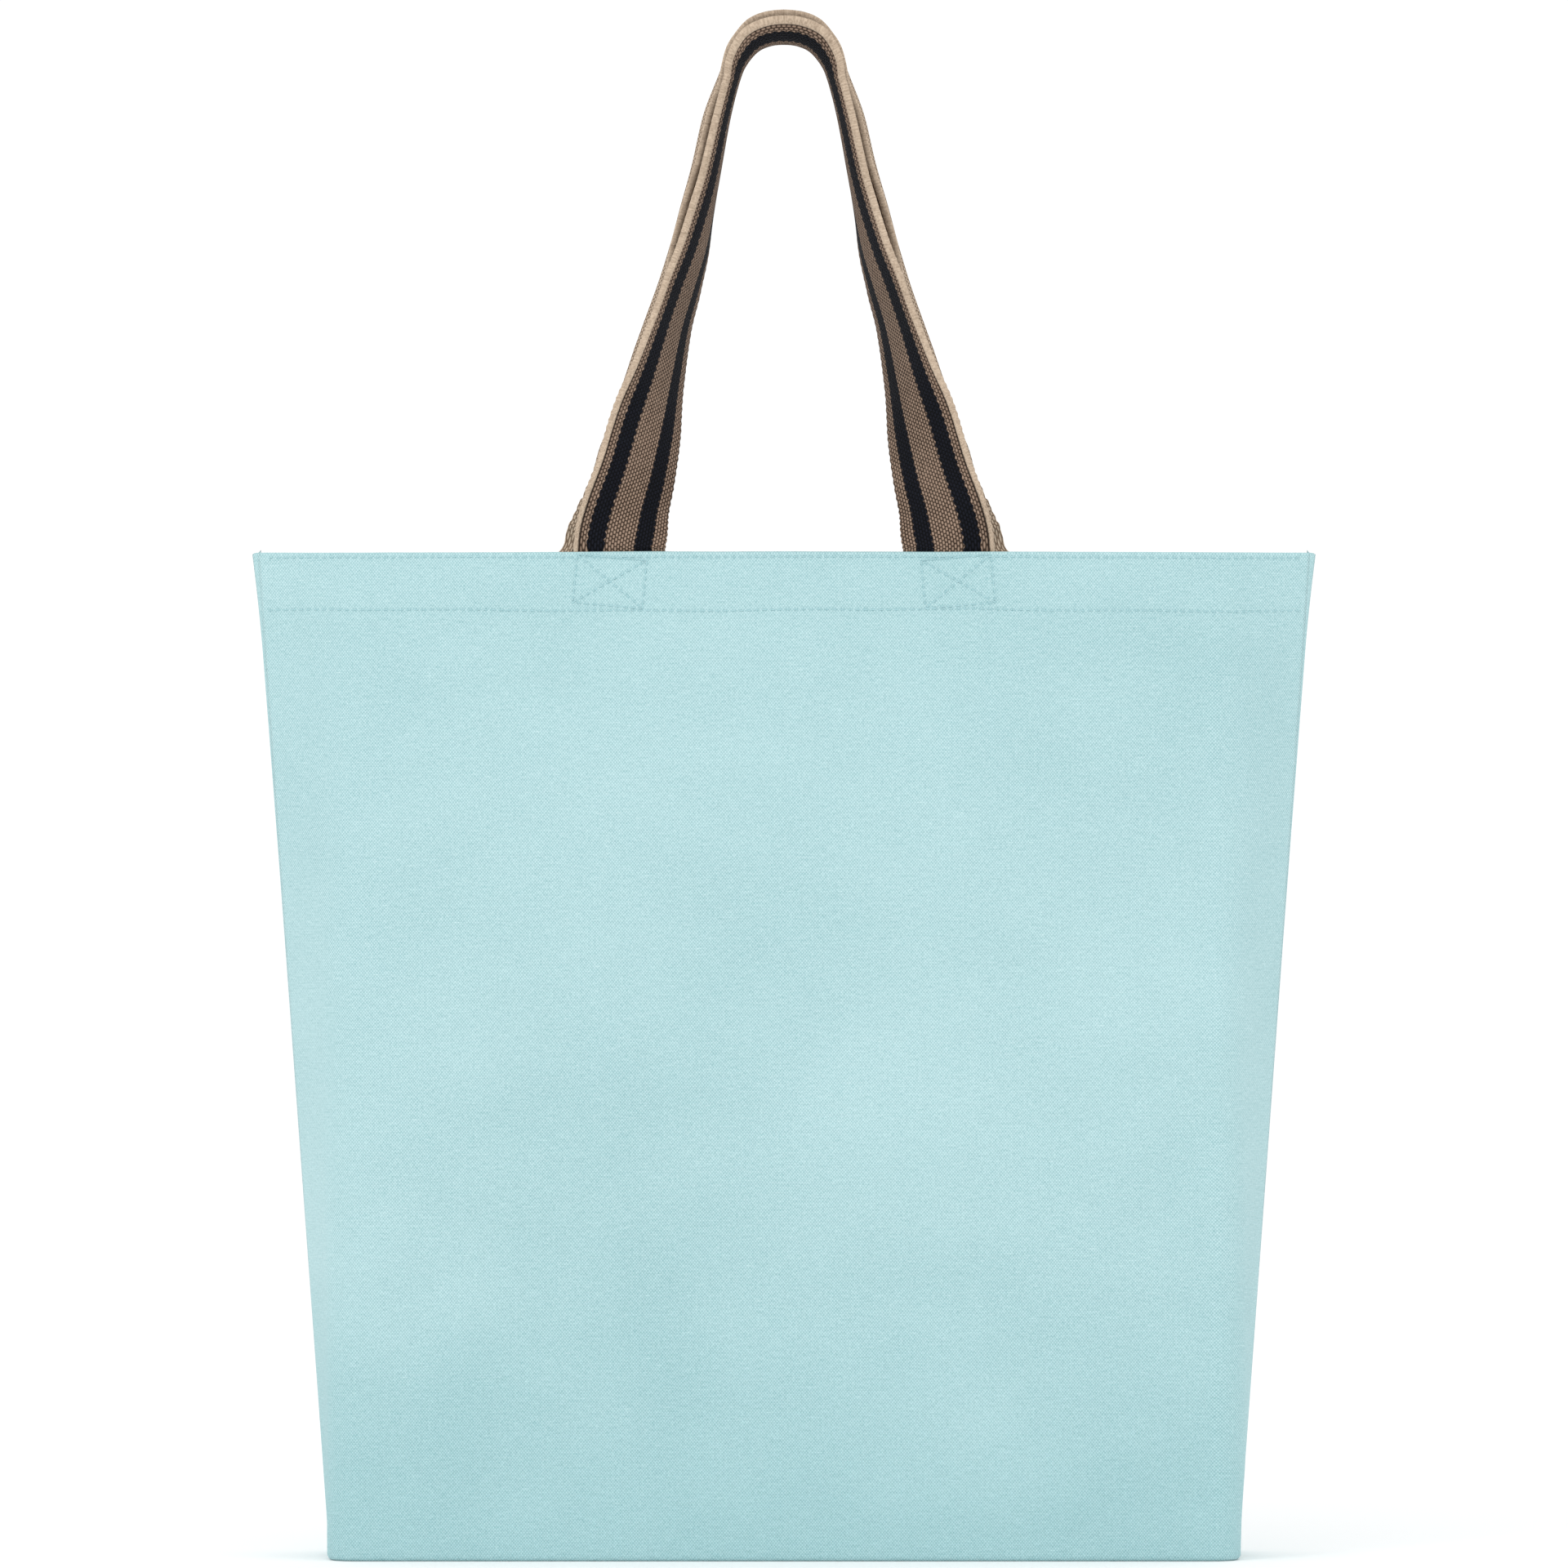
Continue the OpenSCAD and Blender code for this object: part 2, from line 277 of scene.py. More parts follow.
def shape_wall(folds, seed):
    """The outer layer, from rim to base edge, with its outward normals."""
    top, dense_end = BAG_H - 0.8 * MM, BAG_H - 30 * MM
    z = np.concatenate([np.linspace(top, dense_end, 24, endpoint=False),
                        np.linspace(dense_end, EDGE_R + CANVAS_T / 2, 104)])
    across, zz = np.meshgrid(ACROSS, z)
    smooth = wall_point(across, zz)
    n = normals_of(smooth)
    n *= np.sign(-n[:, MIDDLE, 1].mean())
    offset = cloth_offset(smooth[..., 0], across, zz, folds, seed)
    return smooth + n * offset[..., None], n


def cloth_lengths(points):
    """Cumulative length down each column."""
    step = np.linalg.norm(np.diff(points, axis=0), axis=-1)
    return np.concatenate([np.zeros((1, points.shape[1])), np.cumsum(step, 0)])


HEM_LAYER = 1.08 * CANVAS_T     # from the mid-surface of one layer of the hem to the other's
HEM_ROWS = 20                   # rows of the wall that the hem's inner layer follows
FOLD_ROWS = 5                   # rows of the fold over the rim
TURN_ROWS = 5                   # rows of the turn under the base
BASE_ROWS = 12
GIRTH_ROW = 60                  # row of the wall whose length sets the UV's width
SEAM_END = 5 * MM               # the base seam ends this far short of the base's side
SEAM_SPREAD = 0.97              # how far the wall's columns draw together on the base seam
TURN_COLUMNS = 6                # columns of the turn into a side allowance


def hem_rows(wall, n):
    """The hem's inner layer, up to the rim, then the fold over it."""
    inside = wall[:HEM_ROWS] - n[:HEM_ROWS] * HEM_LAYER
    middle = wall[0] - n[0] * HEM_LAYER / 2
    fold = []
    for angle in np.linspace(0, math.pi, FOLD_ROWS + 2)[1:-1]:
        ring = middle - n[0] * HEM_LAYER / 2 * math.cos(angle)
        fold.append(ring + np.array([0, 0, HEM_LAYER / 2]) * math.sin(angle))
    return np.concatenate([inside[::-1], np.array(fold)])


def turn_rows(low, low_n):
    """The turn from the wall's lowest row into the base."""
    level_n = low_n * [1, 1, 0]
    level_n /= np.linalg.norm(level_n, axis=-1, keepdims=True)
    turn = []
    for angle in np.linspace(0, math.pi / 2, TURN_ROWS + 1)[1:]:
        ring = low - level_n * EDGE_R * (1 - math.cos(angle))
        ring[:, 2] = low[:, 2] - EDGE_R * math.sin(angle)
        turn.append(ring)
    return np.array(turn)


def base_rows(edge):
    """Half the base, from its edge to the seam along the middle plane."""
    reach = (BASE_HALF - SEAM_END) * (1 - (1 - np.abs(ACROSS)) * SEAM_SPREAD)
    x = np.sign(edge[:, 0]) * np.minimum(np.abs(edge[:, 0]), reach)
    seam = np.stack([x, np.full(len(edge), -HALF_GAP), edge[:, 2]], -1)
    return np.array([edge] + [edge + (seam - edge) * s for s in np.linspace(0, 1, BASE_ROWS)[1:]])


def side_allowance(end, towards, side):
    """The sheet's side edge, turned in to lie against the other panel's: rows x columns x 3."""
    k = (-HALF_GAP - end[:, 1]) / np.maximum(towards[:, 1], 1e-6)
    corner = end + towards * np.minimum(k, 4 * MM / np.linalg.norm(towards, axis=-1))[:, None]
    corner[:, 1] = -HALF_GAP
    start = corner.copy()
    start[:, 0] -= side * 1.6 * MM
    strip = [(1 - s) ** 2 * end + 2 * s * (1 - s) * corner + s * s * start
             for s in (0, 0.2, 0.4, 0.6, 0.8, 1)]
    strip += [start - np.array([side * s, 0, 0]) for s in np.linspace(0, SEAM_W - 2 * MM, 5)[1:]]
    strip = np.stack(strip, 1)
    # beside the hem and by the corner seam, only the turned edge shows
    z = end[:, 2]
    hidden = (z >= BAG_H - HEM - 1 * MM) | (z <= 12 * MM)
    strip[hidden, TURN_COLUMNS:] = strip[hidden, TURN_COLUMNS - 1:TURN_COLUMNS]
    return strip


def base_allowances():
    """The allowances of the base seam and the corner seams, which stand up inside."""
    rise = np.linspace(CANVAS_T, SEAM_W + CANVAS_T, 6)
    half = BASE_HALF - 15 * MM
    x, z = np.meshgrid(np.linspace(-half, half, 90), rise)
    y = -HALF_GAP - 0.15 * MM * np.sin(x / (17 * MM)) ** 2
    yield np.stack([x, y, z], -1), np.stack([x, z], -1)
    depth = BASE_DEPTH - CORNER_R
    for side in (-1, 1):
        for layer_x in (3.5 * MM, 4.6 * MM):
            y, z = np.meshgrid(np.linspace(-depth, -HALF_GAP, 12), rise)
            x = np.full_like(y, side * (BASE_HALF - layer_x))
            yield np.stack([x, y, z], -1), np.stack([y, z], -1)


def make_panel(name, folds, seed, back):
    """One canvas panel: hem, wall, half the base and its seam allowances."""
    wall, n = shape_wall(folds, seed)
    sheet = np.concatenate([hem_rows(wall, n), wall, turn_rows(wall[-1], n[-1])])
    u = lengths_along(wall[GIRTH_ROW])
    u -= u[MIDDLE]
    v = -cloth_lengths(sheet)[:, MIDDLE]
    parts = Parts()
    parts.add(sheet, np.stack(np.meshgrid(u, v), -1), flip=back)
    base = base_rows(sheet[-1])
    base_v = v[-1] - (base[..., 1] - base[0, MIDDLE, 1])
    parts.add(base, np.stack([base[..., 0], base_v], -1), flip=back)

    rows = slice(HEM_ROWS + 2, HEM_ROWS + FOLD_ROWS + len(wall) - 2)
    for column, beside, side in ((0, 1, -1), (-1, -2, 1)):
        end = sheet[rows, column]
        strip = side_allowance(end, end - sheet[rows, beside], side)
        strip_u = np.cumsum([0] + [1.2 * MM] * (strip.shape[1] - 1)) + abs(u[column])
        parts.add(strip, np.stack(np.meshgrid(side * strip_u, v[rows]), -1),
                  flip=(side == -1) != back)
    for points, uv in base_allowances():
        parts.add(points, uv, flip=back)

    if back:
        for block in parts.points:
            block[:, 1] *= -1
    panel = parts.build(name)
    add_thickness(panel, CANVAS_T)
    return panel


# ---- handle webbing ----

# Half of each loop, in mm, from above the rim to the crown: x, y, z and the turn of the webbing
# about Z, in degrees. The back loop is drawn at the front and mirrored. Both follow the CAD's
# loops, apart from the back one's foot, which twists a little sooner.
FOOT_Z = 421
FRONT_LOOP = [
    (-68, -24, FOOT_Z, -4), (-65.3, -22.7, 435, 20), (-61, -20.5, 450, 31),
    (-56.2, -17.5, 470, 40), (-51.5, -14.8, 489, 54), (-46, -12.3, 511, 64),
    (-40.7, -10.3, 528, 67), (-35.3, -9, 545, 73), (-29.6, -8, 570, 84),
    (-24.4, -8, 597, 88), (-20.4, -8, 613, 89), (-17.6, -8, 620.5, 89),
    (-12.5, -8, 627, 90), (-6.5, -8, 630, 90), (0, -8, 630.8, 90)]
BACK_LOOP = [
    (-75.2, -24, FOOT_Z, 30), (-75, -22.4, 425, 44), (-74.8, -20, 430, 57), (-74.8, -17.5, 435, 66),
    (-74.6, -14.2, 444, 75), (-72.3, -11.8, 458, 79),
    (-68.2, -11, 469, 79), (-58.6, -10, 494, 79), (-52.8, -9.3, 511, 81),
    (-47.9, -8.7, 528, 85), (-43.7, -8.3, 545, 88), (-39.5, -8, 562, 89),
    (-34.9, -8, 579, 90), (-30.1, -8, 599, 90), (-25, -8, 612.6, 90),
    (-22.6, -8, 619.5, 90), (-20.1, -8, 625.1, 90), (-17.2, -8, 628.9, 90),
    (-12.3, -8, 633.6, 90), (-7, -8, 636, 90), (0, -8, 636.8, 90)]
# how far the two edges of a strap curl out of its flat plane, mm: height, first edge, second edge
FRONT_CUP = ((421, 0, 0), (443, 1, 1), (477, 2.5, 2.5), (511, 1.5, 1.5), (528, 2, 2),
             (545, 3, 2.5), (562, 4.5, 3), (579, 5, 3), (613, 5, 3), (627, 9, 1.5))
BACK_CUP = ((421, 0, 0), (450, 2, 2), (500, 4.5, 4.5), (545, 4.5, 4.5), (562, 4.5, 3.5),
            (579, 4.5, 2), (612, 4.5, 2), (634, 4, 6.5))
CUP_WOBBLE = 0.05       # share by which the edges' curl varies along a strap
BOW_CENTRE = 0.165      # share of the edges' curl by which the middle moves the other way
TAIL_LEAN = math.radians(5)
TAIL_HEIGHTS = (393.5, 399, 405, 411, 416)      # mm
TAIL_INSET = 1.58 * CANVAS_T + WEB_HALF_T * MM + 0.15 * MM   # from the wall's mid-surface
SLOPE_REACH = 4 * MM    # to each side of the place where the wall's slope is measured
RING_STEP = 0.6 * MM    # between two rings of a strap
ROUTE_STEPS = 40        # steps between two points of a route, before it is evened out


def wall_depth(x, z):
    """How far in front of the middle plane the wall's mid-surface lies at x, z."""
    across = x / RIM_HALF
    for _ in range(6):
        at = wall_point(np.array([across]), np.array([z]))[0]
        across += (x - at[0]) / RIM_HALF
    return -at[1]


def tail_points(loop):
    """The route of the sewn tail, up the inside of the hem to the loop's foot."""
    points = []
    for height in TAIL_HEIGHTS:
        z = height * MM
        x = loop[0][0] * MM - math.tan(TAIL_LEAN) * (BAG_H - z)
        slope = (wall_depth(x + SLOPE_REACH, z) - wall_depth(x - SLOPE_REACH, z)) / (2 * SLOPE_REACH)
        y = TAIL_INSET - wall_depth(x, z)
        points.append((x / MM, y / MM, height, -math.degrees(math.atan(slope))))
    return points


def catmull_rom(points, steps):
    """A smooth curve through rows of numbers."""
    p = np.array(points, float)
    p = np.concatenate([2 * p[:1] - p[1:2], p, 2 * p[-1:] - p[-2:-1]])
    out = []
    for i in range(1, len(p) - 2):
        a, b, c, d = p[i - 1:i + 3]
        for u in np.arange(steps) / steps:
            out.append(0.5 * (2 * b + (c - a) * u + (2 * a - 5 * b + 4 * c - d) * u * u
                              + (3 * b - a - 3 * c + d) * u ** 3))
    out.append(p[-2])
    return np.array(out)


def evenly(route, step):
    """The route again with equal steps along its length."""
    along = lengths_along(route[:, :3])
    at = np.linspace(0, along[-1], int(round(along[-1] / step)) + 1)
    return np.stack([np.interp(at, along, route[:, k]) for k in range(4)], -1), at


def web_section():
    """Half sections of the webbing: place across the width, half thickness beaded and plain."""
    edge_x = [15.9, 16.3, 16.7, 17, 17.3, 17.8, 18.3, 18.8, 19.05]
    edge_bead = [0.7, 0.48, 0.45, 0.8, 1.2, 1.45, 1.35, 0.95, 0.42]
    edge_plain = [WEB_HALF_T] * 6 + [0.82, 0.68, 0.35]
    body_x = np.linspace(0, 15, 14)
    body = [WEB_HALF_T] * len(body_x)
    return [np.concatenate(pair) * MM
            for pair in ((body_x, edge_x), (body, edge_bead), (body, edge_plain))]


def strap_axes(route):
    """Unit directions across the webbing and out of it, at each ring of its route."""
    ahead = np.gradient(route[:, :3], axis=0)
    ahead /= np.linalg.norm(ahead, axis=-1, keepdims=True)
    yaw = np.radians(route[:, 3])
    flat = np.stack([np.cos(yaw), np.sin(yaw), 0 * yaw], -1)
    across = flat - ahead * np.sum(flat * ahead, -1, keepdims=True)
    across /= np.linalg.norm(across, axis=-1, keepdims=True)
    return across, np.cross(ahead, across)


def strap_bow(cup_rows, z, along, ring_x, seed):
    """How far each point of each ring lies off the flat webbing, as its edges curl."""
    wobble = np.sin(along / 0.021 + seed) + 0.6 * np.sin(along / 0.013 + 2 * seed)
    heights, *edges = np.array(cup_rows).T * MM
    first, second = [np.interp(z, heights, edge) * (1 + CUP_WOBBLE * wobble) for edge in edges]
    cup = np.where(ring_x[None, :] < 0, first[:, None], second[:, None])
    return cup * (ring_x[None, :] / (WEB_W / 2)) ** 2 - BOW_CENTRE * (first + second)[:, None]


def make_webbing(name, loop, cup_rows, back, seed):
    """One handle: tail, loop and tail in a single strap, with cupped upper legs and crown."""
    half = tail_points(loop) + list(loop)
    other = [(-x, y, z, 180 - yaw) for x, y, z, yaw in reversed(half[:-1])]
    route, along = evenly(catmull_rom(half + other, ROUTE_STEPS) * [MM, MM, MM, 1], RING_STEP)
    centre = route[:, :3]
    across, out = strap_axes(route)

    # the edge that faces the front is curled into a bead
    xs, bead, plain = web_section()
    first_edge, second_edge = (plain, bead) if back else (bead, plain)
    bead_side = 1 if back else -1
    ring_x = np.concatenate([-xs[::-1], xs[1:], xs[::-1], -xs[1:]])
    ring_h = np.concatenate([first_edge[::-1], second_edge[1:], -second_edge[::-1], -first_edge[1:]])
    bow = strap_bow(cup_rows, centre[:, 2], along, ring_x, seed)
    selvedge = smooth_step(16.6 * MM, 18.5 * MM, np.abs(ring_x))
    scallop = 0.2 * MM * np.sin(2 * math.pi * along / SELVEDGE_PITCH)[:, None] * selvedge
    over = ring_x[None, :] + np.sign(ring_x)[None, :] * scallop
    points = (centre[:, None] + across[:, None] * over[..., None]
              + out[:, None] * (ring_h[None, :] + bow)[..., None])
    if back:
        points[..., 1] *= -1

    # UV: across the width from the beaded edge, and along the length
    cols = len(ring_x)
    uv = np.stack(np.meshgrid(WEB_W / 2 - bead_side * ring_x, along), -1).reshape(-1, 2)
    quads = grid_quads(len(along), cols, wrap=True)
    if back:
        quads = quads[:, ::-1]
    last = (len(along) - 1) * cols
    caps = [range(cols), range(last + cols - 1, last - 1, -1)]
    if not back:
        caps = [reversed(cap) for cap in caps]
    caps = [tuple(cap) for cap in caps]
    corner_uv = np.concatenate([uv[quads].reshape(-1, 2)] + [uv[list(cap)] for cap in caps])

    # the inner face, apart from the bead, has the second material, a darker copy of the webbing that
    # carries painted shade
    columns = quads % cols
    inner = (columns >= cols // 2).all(axis=1)
    inner &= (ring_x[columns] * bead_side).max(axis=1) < BEAD_START
    return new_object(name, points.reshape(-1, 3), [tuple(q) for q in quads] + caps, corner_uv,
                      [*inner, 0, 0])


# ---- stitches ----

STITCH_LENGTH = 2.5 * MM
STITCH_PITCH = 3.2 * MM
THREAD_R = 0.27 * MM
STITCH_RINGS = 7
STITCH_SIDES = 8
STITCH_TILT = 0.03      # how far single stitches turn off their line, radians


def stitch_mesh_points():
    """One stitch along X on a surface facing +Z: a short arc of thread that dips in at its ends."""
    a = np.linspace(-1, 1, STITCH_RINGS)
    x = a * STITCH_LENGTH / 2
    rise = THREAD_R * (0.9 - 1.9 * a ** 4)
    radius = THREAD_R * np.sqrt(np.clip(1.08 - a ** 4 * 0.95, 0.1, 1))
    turn = np.arange(STITCH_SIDES) * 2 * math.pi / STITCH_SIDES
    y = radius[:, None] * np.cos(turn)[None, :]
    z = rise[:, None] + radius[:, None] * np.sin(turn)[None, :]
    return np.stack([np.broadcast_to(x[:, None], y.shape), y, z], -1)


STITCH = stitch_mesh_points()


def place_stitches(spots):
    """spots: (place, direction, outward normal) of each stitch. Returns points, faces and UVs."""
    quads = grid_quads(STITCH_RINGS, STITCH_SIDES, wrap=True)
    size = STITCH_RINGS * STITCH_SIDES
    caps = [list(reversed(range(STITCH_SIDES))), list(range(size - STITCH_SIDES, size))]
    turn = np.broadcast_to(np.arange(STITCH_SIDES) / STITCH_SIDES, STITCH.shape[:2])
    unit_uv = np.stack([turn, STITCH[..., 0] / STITCH_LENGTH + 0.5], -1).reshape(-1, 2)
    points, faces, uvs = [], [], []
    for i, (place, direction, normal) in enumerate(spots):
        n = normal / np.linalg.norm(normal)
        d = direction - n * (direction @ n)
        d = d / np.linalg.norm(d)
        points.append(place + STITCH.reshape(-1, 3) @ np.stack([d, np.cross(n, d), n]))
        first = i * size
        faces += [tuple(q + first) for q in quads]
        faces += [tuple(k + first for k in c) for c in caps]
        uvs.append(unit_uv[quads].reshape(-1, 2))
        uvs += [unit_uv[c] for c in caps]
    return np.concatenate(points), faces, np.concatenate(uvs)


def tree_of(*objects):
    """One search tree over the faces of several objects."""
    points, faces = [], []
    for o in objects:
        first = len(points)
        points += [v.co.copy() for v in o.data.vertices]
        faces += [[first + k for k in p.vertices] for p in o.data.polygons]
    return BVHTree.FromPolygons(points, faces)


def spots_along(line, trees):
    """Stitches along a line of points, on the faces that rays meet.

    trees holds (tree, ray direction, distance that the ray starts back from the line)."""
    line = np.array(line, float)
    along = lengths_along(line)

    def place_at(at):
        return np.stack([np.interp(at, along, line[:, k]) for k in range(3)], -1)

    count = max(1, int(along[-1] / STITCH_PITCH))
    at = (np.arange(count) + 0.5) * along[-1] / count
    place = place_at(at)
    ahead = place_at(np.minimum(at + 1 * MM, along[-1]))
    behind = place_at(np.maximum(at - 1 * MM, 0))
    spots = []
    for tree, ray, back_off in trees:
        ray = np.array(ray, float)
        for i in range(count):
            origin = place[i] - ray * back_off
            hit, normal, _, _ = tree.ray_cast(Vector(origin), Vector(ray))
            if hit is None:
                continue
            n = np.array(normal)
            if n @ ray > 0:
                n = -n
            d = ahead[i] - behind[i]
            tilt = STITCH_TILT * math.sin(12.9 * i + 3.1)
            spots.append((np.array(hit), d + np.cross(n, d) * tilt, n))
    return spots


def make_stitches(name, spots):
    points, faces, uvs = place_stitches(spots)
    return new_object(name, points, faces, uvs)


# ---- bound seams ----

TAPE_T = 0.6 * MM
TAPE_W = 6 * MM


def make_binding(name, path, off, across):
    """Tape folded round a seam allowance's edge.

    path: points of the allowance's edge line. off points off the edge, away from the cloth.
    across is the direction from one face of the allowance to the other."""
    path = np.array(path, float)
    off, across = np.array(off, float), np.array(across, float)
    half = HALF_GAP + CANVAS_T / 2 + 0.08 * MM
    flat = (1, 0.8, 0.6, 0.4, 0.2, 0.05)
    section = [(-TAPE_W * s, half) for s in flat]
    section += [(half * 0.9 * math.sin(a), half * math.cos(a))
                for a in np.linspace(0.3, math.pi - 0.3, 7)]
    section += [(-TAPE_W * s, -half) for s in reversed(flat)]
    section = np.array(section)
    along = lengths_along(path)
    ripple = 0.12 * MM * np.sin(along / (4.1 * MM) + 2 * np.sin(along / (27 * MM)))
    reach = section[None, :, 0] + ripple[:, None] * 0.5
    side = section[None, :, 1] + np.sign(section[None, :, 1]) * (np.abs(ripple[:, None]) + 0.3 * MM)
    points = path[:, None] + off * reach[..., None] + across * side[..., None]
    parts = Parts()
    parts.add(points, np.stack(np.meshgrid(lengths_along(section), along), -1))
    obj = parts.build(name)
    add_thickness(obj, TAPE_T)
    return obj


# ---- materials ----

class Shader:
    """A Principled material and short names for the nodes that feed it."""

    def __init__(self, name):
        self.material = bpy.data.materials.new(name)
        self.material.use_nodes = True
        self.nodes = self.material.node_tree.nodes
        self.links = self.material.node_tree.links
        self.surface = self.nodes["Principled BSDF"]
        uv = self.nodes.new("ShaderNodeUVMap")
        uv.uv_map = "cloth"
        split = self.nodes.new("ShaderNodeSeparateXYZ")
        self.links.new(uv.outputs["UV"], split.inputs[0])
        self.u, self.v = split.outputs["X"], split.outputs["Y"]

    def feed(self, socket, value):
        if hasattr(value, "is_output"):
            self.links.new(value, socket)
        else:
            socket.default_value = value

    def math(self, operation, a, b=0.0, c=0.0):
        node = self.nodes.new("ShaderNodeMath")
        node.operation = operation
        for socket, value in zip(node.inputs, (a, b, c)):
            self.feed(socket, value)
        return node.outputs[0]

    def add(self, a, b):
        return self.math("ADD", a, b)

    def times(self, a, b):
        return self.math("MULTIPLY", a, b)

    def between(self, value, low, high, to_low=0.0, to_high=1.0, smooth=True):
        """The value moved from the range low to high into the range to_low to to_high."""
        node = self.nodes.new("ShaderNodeMapRange")
        node.interpolation_type = "SMOOTHSTEP" if smooth else "LINEAR"
        for key, v in (("Value", value), ("From Min", low), ("From Max", high),
                       ("To Min", to_low), ("To Max", to_high)):
            self.feed(node.inputs[key], v)
        return node.outputs[0]

    def noise(self, x, y, scale, detail=2.0, z=0.0):
        join = self.nodes.new("ShaderNodeCombineXYZ")
        for socket, value in zip(join.inputs, (x, y, z)):
            self.feed(socket, value)
        node = self.nodes.new("ShaderNodeTexNoise")
        node.inputs["Scale"].default_value = scale
        node.inputs["Detail"].default_value = detail
        self.links.new(join.outputs[0], node.inputs["Vector"])
        return node.outputs["Fac"]

    def mix(self, share, a, b, blend="MIX"):
        node = self.nodes.new("ShaderNodeMix")
        node.data_type = "RGBA"
        node.blend_type = blend
        self.feed(node.inputs["Factor"], share)
        self.feed(node.inputs["A"], a)
        self.feed(node.inputs["B"], b)
        return node.outputs["Result"]

    def colour(self, value):
        self.feed(self.surface.inputs["Base Color"], value)

    def roughness(self, value):
        self.feed(self.surface.inputs["Roughness"], value)

    def bump(self, height, distance, strength=1.0):
        node = self.nodes.new("ShaderNodeBump")
        node.inputs["Strength"].default_value = strength
        node.inputs["Distance"].default_value = distance
        self.links.new(height, node.inputs["Height"])
        self.links.new(node.outputs["Normal"], self.surface.inputs["Normal"])

    def cloth_finish(self, sheen, specular=0.25):
        self.surface.inputs["Sheen Weight"].default_value = sheen
        self.surface.inputs["Sheen Roughness"].default_value = 0.5
        self.surface.inputs["Specular IOR Level"].default_value = specular


def srgb(r, g, b):
    """A linear colour from 8-bit display values."""
    linear = [c / 255 / 12.92 if c <= 10 else ((c / 255 + 0.055) / 1.055) ** 2.4
              for c in (r, g, b)]
    return (*linear, 1.0)


def canvas_material():
    """Plain-weave cotton canvas, dyed pale aqua, with slubs, soft unevenness and painted shade towards
    the base.
    """
    s = Shader("canvas")
    warp_pitch, weft_pitch = 0.6 * MM, 0.72 * MM
    # threads wander a little and vary in weight
    wander = 0.6 * MM
    wander_u = s.times(s.add(s.noise(s.u, s.times(s.v, 0.2), 150, 2), -0.5), wander)
    wander_v = s.times(s.add(s.noise(s.times(s.u, 0.2), s.v, 150, 2, 3.0), -0.5), wander)
    sa = s.math("SINE", s.times(s.add(s.u, wander_u), math.pi / warp_pitch))
    sb = s.math("SINE", s.times(s.add(s.v, wander_v), math.pi / weft_pitch))
    cross = s.times(s.times(sa, sb), 0.5)
    warp = s.add(s.times(s.math("ABSOLUTE", sa), 0.5), cross)
    weft = s.math("SUBTRACT", s.times(s.math("ABSOLUTE", sb), 0.5), cross)
    weave = s.math("MAXIMUM", s.times(warp, 0.9), weft)
    # thread by thread: thicker and thinner stretches, and single slubs
    warp_slub = s.noise(s.times(s.u, 1 / warp_pitch), s.times(s.v, 420), 1, 1, 5.0)
    weft_slub = s.noise(s.times(s.u, 160), s.times(s.v, 1 / weft_pitch), 1, 1, 9.0)
    rare = s.noise(s.times(s.u, 240), s.times(s.v, 1 / weft_pitch), 1, 0, 13.0)
    grain = s.noise(s.u, s.v, 900, 2, 17.0)
    # dye and handling unevenness on a larger scale
    broad = s.noise(s.u, s.v, 7, 2, 1.0)
    broad_2 = s.noise(s.u, s.times(s.v, 1.6), 26, 3, 2.0)

    pale, deep, slub_colour = srgb(200, 229, 232), srgb(137, 180, 184), srgb(216, 240, 241)
    tone = s.add(s.times(s.add(warp_slub, -0.5), 0.22), s.times(s.add(weft_slub, -0.5), 0.42))
    for part, middle, share in ((broad, 0.5, 0.45), (broad_2, 0.5, 0.18), (grain, 0.5, 0.9),
                                (weave, 0.6, 0.3)):
        tone = s.add(tone, s.times(s.add(part, -middle), share))
    tone = s.add(tone, s.times(cross, 0.9))
    base = s.mix(s.between(tone, -0.65, 0.55, smooth=False), deep, pale)
    base = s.mix(s.between(rare, 0.76, 0.86, 0.0, 0.35), base, slub_colour)
    # painted shade: the cloth is made darker and cooler in tone towards the base
    painted_shade_low_share = s.between(s.add(s.v, s.times(s.add(broad, -0.5), 0.12)), -0.3, -0.43)
    base = s.mix(painted_shade_low_share, base, s.mix(1.0, base, (0.87, 0.93, 0.935, 1), "MULTIPLY"))
    s.colour(base)
    s.roughness(s.between(weave, 0, 1, 0.97, 0.86, smooth=False))
    # the relief that catches the light: weave, slubs and loose fibres
    height = s.add(weave, s.times(s.add(warp_slub, weft_slub), 0.45))
    height = s.add(height, s.times(grain, 0.6))
    s.bump(height, 0.14 * MM, 0.8)
    s.cloth_finish(0.12)
    return s.material


